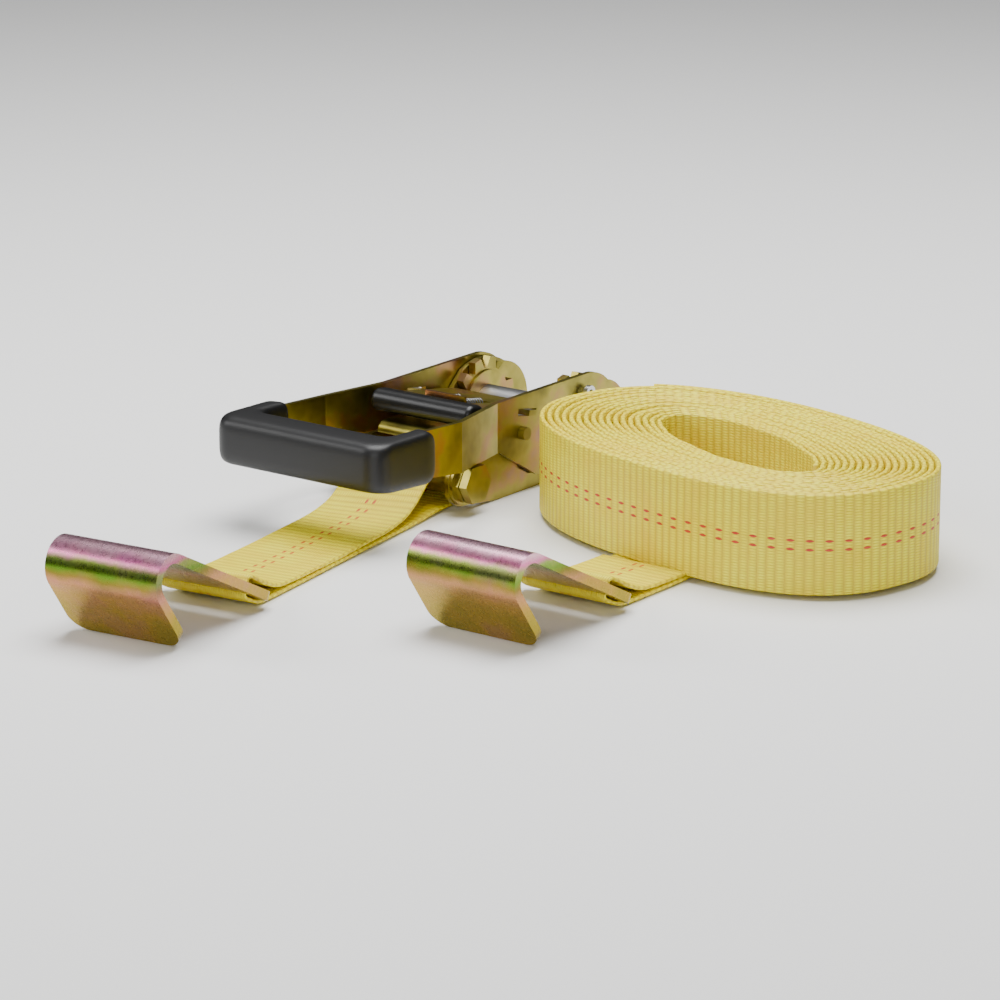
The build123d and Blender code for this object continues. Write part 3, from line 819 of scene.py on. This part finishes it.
@dataclass(frozen=True)
class Layers:
    """Heights of two layers of strap that lie on the floor, and their path round a hook's bar.

    Attributes:
        thickness: of one layer.
        lift: from the gap over the floor to the lower layer.
        sag: what a layer stands off the one below.
        gap: between the strap and the bar, under it and inside the slot.
        over_slot: slack over the bar at the slot, so that the hook can lift.
        over_bar: slack over the bar's middle.
        over_tail: slack over the bar's end.
    """

    thickness: float
    lift: float = 0.2 * MM
    sag: float = 0.25 * MM
    gap: float = 0.55 * MM
    over_slot: float = 2.7 * MM
    over_bar: float = 3.4 * MM
    over_tail: float = 3.2 * MM

    def low(self) -> float:
        """Height of the lower layer's middle."""
        return LAY.floor_gap + self.thickness / 2 + self.lift

    def high(self) -> float:
        """Height of the upper layer's middle."""
        return self.low() + self.thickness + self.sag

    def loop(self, leave_low: float, leave_high: float) -> np.ndarray:
        """Corners of the strap's middle line round a hook's end bar.

        It comes along the floor, goes under the bar, up through the slot, back over the bar and
        down on to the first layer.

        Args:
            leave_low: where the lower layer starts, along the hook from its lip.
            leave_high: where the upper layer ends.

        Returns:
            Corners as (along, height).
        """
        half, low, high = self.thickness / 2, self.low(), self.high()
        inside = LAY.slot_end - self.gap - half
        under = -LAY.hook_t - self.gap - half
        tail = LAY.on_shank(LAY.shank, under)
        over = LAY.on_shank(LAY.shank + 1.0 * MM, self.over_tail + half)
        corners = [
            [leave_low, low],
            [tail[0] + 12 * MM, low],
            [tail[0] + 2 * MM, low + 0.2 * MM],
            LAY.on_shank(LAY.shank - 5 * MM, under),
            LAY.on_shank(inside - 0.6 * MM, under - 0.2 * MM),
            LAY.on_shank(inside - 0.5 * MM, -LAY.hook_t / 2),
            LAY.on_shank(inside - 0.6 * MM, self.over_slot + half),
            LAY.on_shank(LAY.slot_end + 3 * MM, self.over_bar + half),
            over,
            [over[0] + 10 * MM, high + 2.2 * MM],
            [over[0] + 20 * MM, high + 0.4 * MM],
            [leave_high, high],
        ]
        return np.array(corners)


@dataclass
class ShortStrap:
    """The doubled strap between the ratchet's bolt and its hook.

    Attributes:
        strap: the webbing.
        step: spacing of its stations.
        drape: how far its loose loop lies past the bolt.
    """

    strap: Strap = Strap()
    step: float = 1.6 * MM
    drape: float = 19.5 * MM

    def bolt_end(self, reach: float, layers: Layers) -> np.ndarray:
        """Corners of the middle line from the upper layer, over the sleeve, to the lower layer.

        Args:
            reach: distance from the hook's bar to the bolt.
            layers: the two layers.

        Returns:
            Corners as (distance from the bar, height).
        """
        low, high, bolt_z = layers.low(), layers.high(), LAY.bolt[1]
        ring = LAY.sleeve + 0.5 * MM + self.strap.thickness / 2
        corners = [
            [reach - 78 * MM, high + 0.3 * MM],
            [reach - 58 * MM, high + 1.2 * MM],
            [reach - 40 * MM, high + 5.0 * MM],
            [reach - 20 * MM, bolt_z + ring * 0.62],
            [reach - 7 * MM, bolt_z + ring],
            [reach + 5 * MM, bolt_z + ring],
            [reach + ring + 1.5 * MM, bolt_z + 3 * MM],
            [reach + ring + 7.5 * MM, bolt_z - 8 * MM],
            [reach + self.drape, low + 0.6 * MM],
            [reach + 8 * MM, low],
            [reach - 12 * MM, low + 0.8 * MM],
            [reach - 40 * MM, low],
            [reach * 0.5 + 0.5 * MM, low],
        ]
        return np.array(corners)

    def build(self) -> None:
        """Models one strip, looped at the hook and at the bolt, whose ends meet underneath."""
        ahead = LAY.short_hook.heading()
        bar = float(LAY.on_shank((LAY.slot_end + LAY.shank) / 2, 0)[0])
        bar_at = np.array(LAY.short_hook.tip) + ahead * bar
        bolt_at = np.array([LAY.mandrel[0], LAY.bolt[0]])
        reach = float(np.linalg.norm(bolt_at - bar_at))
        layers = Layers(self.strap.thickness)
        loop = layers.loop(bar + reach * 0.5 - 0.5 * MM, bar + reach * 0.45)
        corners = np.vstack([loop - np.array([bar, 0]), self.bolt_end(reach, layers)])
        side_view = smooth_line(corners, self.step)
        plan = bar_at + side_view[:, :1] * (bolt_at - bar_at) / reach
        line = np.column_stack([plan, side_view[:, 1]])
        # the width turns from along the hook's bar to along the bolt
        share = np.clip(side_view[:, :1] / reach, 0, 1)
        along_bolt, along_bar = np.array([1.0, 0.0, 0.0]), np.array([ahead[1], -ahead[0], 0.0])
        side = share * along_bolt + (1 - share) * along_bar
        piece, length = self.strap.build("short_strap_webbing", line, side, Ripple(0.16 * MM, 3))
        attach(piece, "short_strap")
        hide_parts("short_strap")


@dataclass
class LongStrapEnd:
    """The long strap's end that loops round its hook and runs under the roll.

    Attributes:
        strap: the webbing.
        step: spacing of its stations.
        far_end: Y of the lower layer's end.
        upper: length of the upper layer, from the hook's lip.
    """

    strap: Strap = Strap()
    step: float = 1.6 * MM
    far_end: float = 174 * MM
    upper: float = 128 * MM

    def build(self) -> None:
        """Models one strip, nearly flat, because the roll stands on it."""
        x, y = LAY.long_hook.tip
        corners = Layers(self.strap.thickness).loop(self.far_end - y, self.upper)
        side_view = smooth_line(corners, self.step)
        line = np.column_stack([np.full(len(side_view), x), y + side_view[:, 0], side_view[:, 1]])
        across = np.array([1.0, 0.0, 0.0])
        piece, length = self.strap.build("long_strap_end", line, across, Ripple(0.05 * MM, 5))
        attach(piece, "long_strap")
        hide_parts("long_strap_lead")


@dataclass(frozen=True)
class Oval:
    """A turned superellipse in plan.

    Attributes:
        at: its middle.
        half: its half length and half depth.
        turn: of its long axis from +X, in degrees.
        power: 2 is an ellipse, and more is squarer.
    """

    at: tuple[float, float]
    half: tuple[float, float]
    turn: float
    power: float

    def points(self, angle: np.ndarray, grow: float) -> np.ndarray:
        """Points of |x / a|^n + |y / b|^n = 1 at x = a cos^(2/n) and y = b sin^(2/n).

        Args:
            angle: the angles.
            grow: what is added to a and b.

        Returns:
            The points, in plan.
        """
        wide, deep = np.cos(angle), np.sin(angle)
        x = (self.half[0] + grow) * np.sign(wide) * np.abs(wide) ** (2 / self.power)
        y = (self.half[1] + grow) * np.sign(deep) * np.abs(deep) ** (2 / self.power)
        cos_t, sin_t = math.cos(math.radians(self.turn)), math.sin(math.radians(self.turn))
        return np.array(self.at) + np.stack([x * cos_t - y * sin_t, x * sin_t + y * cos_t], axis=1)


@dataclass
class Roll:
    """The long strap, rolled up and standing on edge.

    Attributes:
        strap: the webbing, a little thicker than where it lies flat, so that its turns close up.
        outside: the roll's outline.
        hole: the outline of its hole.
        turns: of the strap.
        start: angle at which the innermost turn's phase is counted, in degrees.
        stands_on: height of the strap end under it, over the gap from the floor.
    """

    strap: Strap = Strap(thickness=2.55 * MM, steps=8)
    outside: Oval = Oval((54.1 * MM, 116.1 * MM), (121.75 * MM, 73.3 * MM), -13.2, 2.4)
    hole: Oval = Oval((61 * MM, 110 * MM), (61 * MM, 22 * MM), -24, 2.0)
    turns: float = 17.35
    start: float = 150
    stands_on: float = 2.4 * MM

    def spiral(self) -> np.ndarray:
        """Middle line of the strap in plan.

        The point at angle q lies between the hole's outline and the roll's outline, at the share
        (q / 2 pi) / turns of the way out.  Small ripples grow towards the hole.

        Returns:
            Evenly spaced points, from the hole outwards.
        """
        angle = np.linspace(0, 2 * math.pi * self.turns, int(self.turns * 900))
        share = angle / angle[-1]
        half = self.strap.thickness / 2
        spin = angle + math.radians(self.start) + 2 * math.pi * (1 - self.turns % 1)
        outer = self.outside.points(spin, -half - 0.2 * MM)
        inner = self.hole.points(spin, half)
        line = inner + (outer - inner) * share[:, None]
        away = unit_rows(line - np.array(self.hole.at))
        ripple = 0.55 * MM * np.sin(spin * 9.0 + 0.7) + 0.35 * MM * np.sin(spin * 23.0)
        return evenly(line + away * ((1 - share) ** 3 * ripple)[:, None], 2.6 * MM)

    def heights(self, count: int) -> np.ndarray:
        """Height of the strap's middle: the sum of three slow sine waves, each 0.22 mm high.

        Args:
            count: of stations.

        Returns:
            The heights.
        """
        rng = np.random.default_rng(11)
        reach = np.linspace(0, 1, count)
        wobble = np.zeros(count)
        # draws come in pairs, and the second of each pair is the wave's phase
        for cycles, (_, phase) in zip((17.4, 31.0, 53.0), rng.uniform(0, 6.28, (3, 2))):
            wobble += np.sin(reach * cycles * 2 * math.pi + phase)
        foot = LAY.floor_gap + self.stands_on + 0.1 * MM
        return foot + self.strap.width / 2 + 0.22 * MM * wobble

    def build(self) -> None:
        """Models one long strip, with its width upright."""
        plan = self.spiral()
        line = np.column_stack([plan, self.heights(len(plan))])
        piece, length = self.strap.build("long_strap_rolled", line, np.array([0.0, 0.0, 1.0]))
        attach(piece, "long_strap")
        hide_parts("long_strap_roll")


# ---- rubber grip


def rounded_u(half: float, open_end: float, closed_end: float, radius: float) -> np.ndarray:
    """A U in plan, with its two corners rounded.

    Args:
        half: half of its width.
        open_end: Y of its two ends.
        closed_end: Y of its bottom.
        radius: of its corners.

    Returns:
        Points from the +X end round to the -X end.
    """
    bottom = closed_end + radius
    turn = np.linspace(0, math.pi / 2, 14, endpoint=False)
    arm = np.linspace((half, open_end), (half, bottom), 30, endpoint=False)
    corner = np.stack([half - radius + radius * np.cos(turn), bottom - radius * np.sin(turn)], axis=1)
    base = np.linspace((half - radius, closed_end), (radius - half, closed_end), 60, endpoint=False)
    other = np.stack([radius - half - radius * np.sin(turn), bottom - radius * np.cos(turn)], axis=1)
    back = np.linspace((-half, bottom), (-half, open_end), 30)
    return np.vstack([arm, corner, base, other, back])


@dataclass
class Grip:
    """The U-shaped rubber grip, in the ratchet's own frame, whose origin is the mandrel.

    Attributes:
        half: half of its width.
        arm_in: half of the width between its arms.
        back: Y of the bar's far side.
        front: Y of the bar's near side.
        arm_end: Y of the arms' ends.
        round_end: length over which an arm's end is rounded.
        power: of the section's superellipse.
    """

    half: float = 55 * MM
    arm_in: float = 42 * MM
    back: float = -197 * MM
    front: float = -172 * MM
    arm_end: float = -147 * MM
    round_end: float = 5 * MM
    power: float = 4.2

    def build(self) -> None:
        """Models the grip between an outer and an inner U.

        A station joins outer point O to inner point I, and its section is the superellipse
        |p|^n + |q|^n = 1, with p along OI and q up.  The arms' ends shrink as a quarter of an
        ellipse, so they are round.
        """
        outer = rounded_u(self.half, self.arm_end, self.back, 10.5 * MM)
        inner = rounded_u(self.arm_in, self.arm_end, self.front, 7 * MM)
        middle, span = (outer + inner) / 2, (outer - inner) / 2
        # the underside rises towards the bar, and the top rises a little
        depth = (self.arm_end - middle[:, 1]) / (self.arm_end - (self.back + self.front) / 2)
        low = (2.0 + 3.0 * depth) * MM
        high = (30.2 + 0.9 * depth) * MM
        ends = np.minimum(self.arm_end - outer[:, 1], self.arm_end - inner[:, 1])
        into = np.clip(ends / self.round_end, 0, 1)
        shrink = np.sqrt(np.clip(1 - (1 - into) ** 2, 0.02, 1))
        angle = np.linspace(0, 2 * math.pi, 48, endpoint=False)
        p, q = (np.sign(wave) * np.abs(wave) ** (2 / self.power) for wave in (np.cos(angle), np.sin(angle)))
        wide = span * (0.35 + 0.65 * shrink)[:, None]
        tall = (high - low) / 2 * (0.55 + 0.45 * shrink)
        rings = np.empty((len(middle), len(angle), 3))
        rings[..., :2] = middle[:, None, :] + p[None, :, None] * wide[:, None, :]
        rings[..., 2] = ((high + low) / 2)[:, None] + q[None, :] * tall[:, None]
        piece = tube_mesh("rubber_grip", rings + np.array(LAY.mandrel))
        dress(piece, Coat.RUBBER)
        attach(piece, "handle")
        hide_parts("handle_grip")
        LOG.info("rubber grip")


# ---- springs


@dataclass(frozen=True)
class CoilSpring:
    """A compression spring of round wire.

    Attributes:
        radius: outside of its coils.
        wire: thickness of the wire.
        coils: number of turns.
    """

    radius: float
    wire: float
    coils: int

    def build(self, name: str, start: np.ndarray, end: np.ndarray) -> bpy.types.Object:
        """Models the wire as a helix: start + t way + r (cos a across + sin a up).

        Args:
            name: the object's name.
            start: middle of one end.
            end: middle of the other end.

        Returns:
            The object.
        """
        length = float(np.linalg.norm(end - start))
        way = (end - start) / length
        across = np.array([1.0, 0.0, 0.0])
        up = np.cross(way, across)
        share = np.linspace(0, 1, self.coils * 20)[:, None]
        angle = share * self.coils * 2 * math.pi
        axis = start + (self.wire / 2 + (length - self.wire) * share) * way
        line = axis + (self.radius - self.wire / 2) * (np.cos(angle) * across + np.sin(angle) * up)
        along = unit_rows(np.gradient(line, axis=0))
        out = unit_rows(line - axis)
        out = unit_rows(out - along * np.einsum("ij,ij->i", out, along)[:, None])
        third = np.cross(along, out)
        turn = np.linspace(0, 2 * math.pi, 8, endpoint=False)[None, :, None]
        section = np.cos(turn) * out[:, None, :] + np.sin(turn) * third[:, None, :]
        piece = tube_mesh(name, line[:, None, :] + self.wire / 2 * section)
        dress(piece, Coat.WIRE)
        LOG.info("%s", name)
        return piece


@dataclass(frozen=True)
class PawlSprings:
    """The two springs that push one pawl, in the ratchet's own frame.

    Attributes:
        name: of the pieces.
        node: CAD node that they stand for.
        coil: the spring.
        across: distance of each spring from the ratchet's middle.
        seat: Y and Z where they sit.
        push: Y and Z of their direction.
        length: of each spring.
        seated_on: body that they sit on; not used.
        pushes: body that they push; not used.
    """

    name: str
    node: str
    coil: CoilSpring
    across: float
    seat: tuple[float, float]
    push: tuple[float, float]
    length: float
    seated_on: str
    pushes: str

    def build(self) -> None:
        """Models both, each from its seat along its push, at its length."""
        for index, x in enumerate((-self.across, self.across)):
            start = np.array(LAY.mandrel) + np.array([x, *self.seat])
            end = start + np.array([0.0, *self.push]) * self.length
            piece = self.coil.build(f"{self.name}_{index}", start, end)
            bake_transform(piece)
            if index == 0:
                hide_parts(self.node)


DRIVE_TILT = math.radians(9.5)
SPRINGS = (
    PawlSprings(
        name="drive_spring_coil",
        node="drive_springs",
        coil=CoilSpring(2.8 * MM, 0.7 * MM, 9),
        across=7 * MM,
        seat=(-69.9 * MM, 19.7 * MM),
        push=(math.cos(DRIVE_TILT), -math.sin(DRIVE_TILT)),
        length=19.4 * MM,
        seated_on="handle",
        pushes="drive_pawl",
    ),
    PawlSprings(
        name="lock_spring_coil",
        node="lock_springs",
        coil=CoilSpring(3.0 * MM, 0.8 * MM, 6),
        across=12 * MM,
        seat=(-71.5 * MM, -0.87 * MM),
        push=(0.876, -0.482),
        length=13.2 * MM,
        seated_on="ratchet_frame",
        pushes="lock_pawl",
    ),
)


# ---- steel pieces


@dataclass
class SteelPieces:
    """The CAD's own pieces, with finishes and softened edges.

    Attributes:
        modelled: CAD nodes that the pieces modelled here stand for.
        coats: finish of each piece that isn't zinc plate.
        edges: softened edge of each piece that differs from the plate's.
        plate_edge: softened edge of pressed plate.
    """

    modelled: frozenset[str] = frozenset(
        {"handle_grip", "short_strap", "long_strap_lead", "long_strap_roll"}
        | {springs.node for springs in SPRINGS}
    )
    coats: dict[str, Coat] = field(
        default_factory=lambda: {
            "mandrel_half_upper": Coat.TURNED,
            "mandrel_half_lower": Coat.TURNED,
            "split_pins": Coat.TURNED,
            "release_bar": Coat.PLASTIC,
            "short_strap_hook": Coat.HOOK,
            "long_strap_hook": Coat.HOOK,
        }
    )
    edges: dict[str, float] = field(
        default_factory=lambda: {
            "short_strap_hook": 0.8 * MM,
            "long_strap_hook": 0.8 * MM,
            "release_bar": 0.2 * MM,
        }
    )
    plate_edge: float = 0.3 * MM

    def build(self, nodes: dict[str, bpy.types.Object]) -> None:
        """Dresses the pieces.

        Args:
            nodes: the CAD's pieces by name.
        """
        for name, node in nodes.items():
            if name in self.modelled:
                continue
            coat = self.coats.get(name, Coat.PLATE)
            dress(node, coat)
            bevel = node.modifiers.new("edge", "BEVEL")
            bevel.width = self.edges.get(name, self.plate_edge)
            bevel.segments = 3
            bevel.limit_method = "ANGLE"
            bevel.angle_limit = math.radians(35)
            bevel.harden_normals = True
            LOG.info("%s in %s", name, coat.value.name)


# ---- studio


@dataclass(frozen=True)
class Softbox:
    """A square area light that faces a point.

    Attributes:
        name: of the light.
        at: where it stands.
        to: what it faces.
        size: of its side, in metres.
        power: in watts.
    """

    name: str
    at: tuple[float, float, float]
    to: tuple[float, float, float]
    size: float
    power: float

    def build(self) -> None:
        """Adds the light."""
        data = bpy.data.lights.new(self.name, "AREA")
        data.shape = "SQUARE"
        data.size = self.size
        data.energy = self.power
        light = bpy.data.objects.new(self.name, data)
        light.location = self.at
        light.rotation_euler = (Vector(self.to) - Vector(self.at)).to_track_quat("-Z", "Y").to_euler()
        bpy.context.scene.collection.objects.link(light)


@dataclass
class Studio:
    """A pale floor, soft light and the camera.

    Attributes:
        floor_half: half of the floor's side, in metres.
        floor_drop: how far the floor is below the object.
        softboxes: the lights.
        walls: strength of the light from the side.
        ceiling: strength of the light from above.
        camera_at: where the camera stands.
        camera_way: its direction.
        lens: its focal length on a 36 mm frame, in mm.
    """

    floor_half: float = 40.0
    floor_drop: float = 0.3 * MM
    softboxes: tuple[Softbox, ...] = (
        Softbox("top", (-0.1, 0.25, 1.5), (0, 0.05, 0), 1.3, 48),
        Softbox("left", (-1.3, -0.9, 0.9), (0, 0, 0.03), 0.8, 13),
        Softbox("front", (0.9, -1.5, 0.7), (0, 0, 0.03), 0.9, 10),
    )
    walls: float = 0.16
    ceiling: float = 3.0
    camera_at: tuple[float, float, float] = (1.2413, -1.6565, 0.631)
    camera_way: tuple[float, float, float] = (-0.5785, 0.7677, -0.2756)
    lens: float = 156.9

    def floor(self) -> None:
        """Adds the floor."""
        half = self.floor_half
        mesh = bpy.data.meshes.new("floor")
        corners = [(-half, -half, 0), (half, -half, 0), (half, half, 0), (-half, half, 0)]
        mesh.from_pydata(corners, [], [(0, 1, 2, 3)])
        floor = bpy.data.objects.new("floor", mesh)
        floor.location.z = -self.floor_drop
        bpy.context.scene.collection.objects.link(floor)
        dress(floor, Coat.PAPER)

    def surroundings(self) -> None:
        """Adds a bright ceiling over darker walls, so that upright steel keeps its depth."""
        world = bpy.data.worlds.new("studio")
        world.use_nodes = True
        tree = world.node_tree
        direction = add(tree, "TexCoord").outputs["Generated"]
        up = add(tree, "SeparateXYZ", {"Vector": direction}).outputs["Z"]
        strength = add(
            tree,
            "MapRange",
            {"Value": up, "From Min": 0.05, "From Max": 0.75, "To Min": self.walls, "To Max": self.ceiling},
        )
        tree.links.new(strength.outputs[0], tree.nodes["Background"].inputs["Strength"])
        bpy.context.scene.world = world

    def camera(self) -> None:
        """Adds the camera."""
        data = bpy.data.cameras.new("camera")
        data.lens = self.lens
        data.sensor_width = 36.0
        data.clip_end = 100
        camera = bpy.data.objects.new("camera", data)
        camera.location = self.camera_at
        camera.rotation_euler = Vector(self.camera_way).to_track_quat("-Z", "Y").to_euler()
        bpy.context.scene.collection.objects.link(camera)
        bpy.context.scene.camera = camera

    def build(self) -> None:
        """Adds everything."""
        self.floor()
        self.surroundings()
        for softbox in self.softboxes:
            softbox.build()
        self.camera()
        LOG.info("studio with %d softboxes", len(self.softboxes))


# ---- main


def main() -> None:
    """Builds the whole scene."""
    logging.basicConfig(level=logging.INFO, format="%(name)s: %(message)s")
    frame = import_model()
    SteelPieces().build(frame["nodes"])
    ShortStrap().build()
    LongStrapEnd().build()
    Roll().build()
    Grip().build()
    for springs in SPRINGS:
        springs.build()
    Studio().build()


if __name__ == "__main__":
    main()
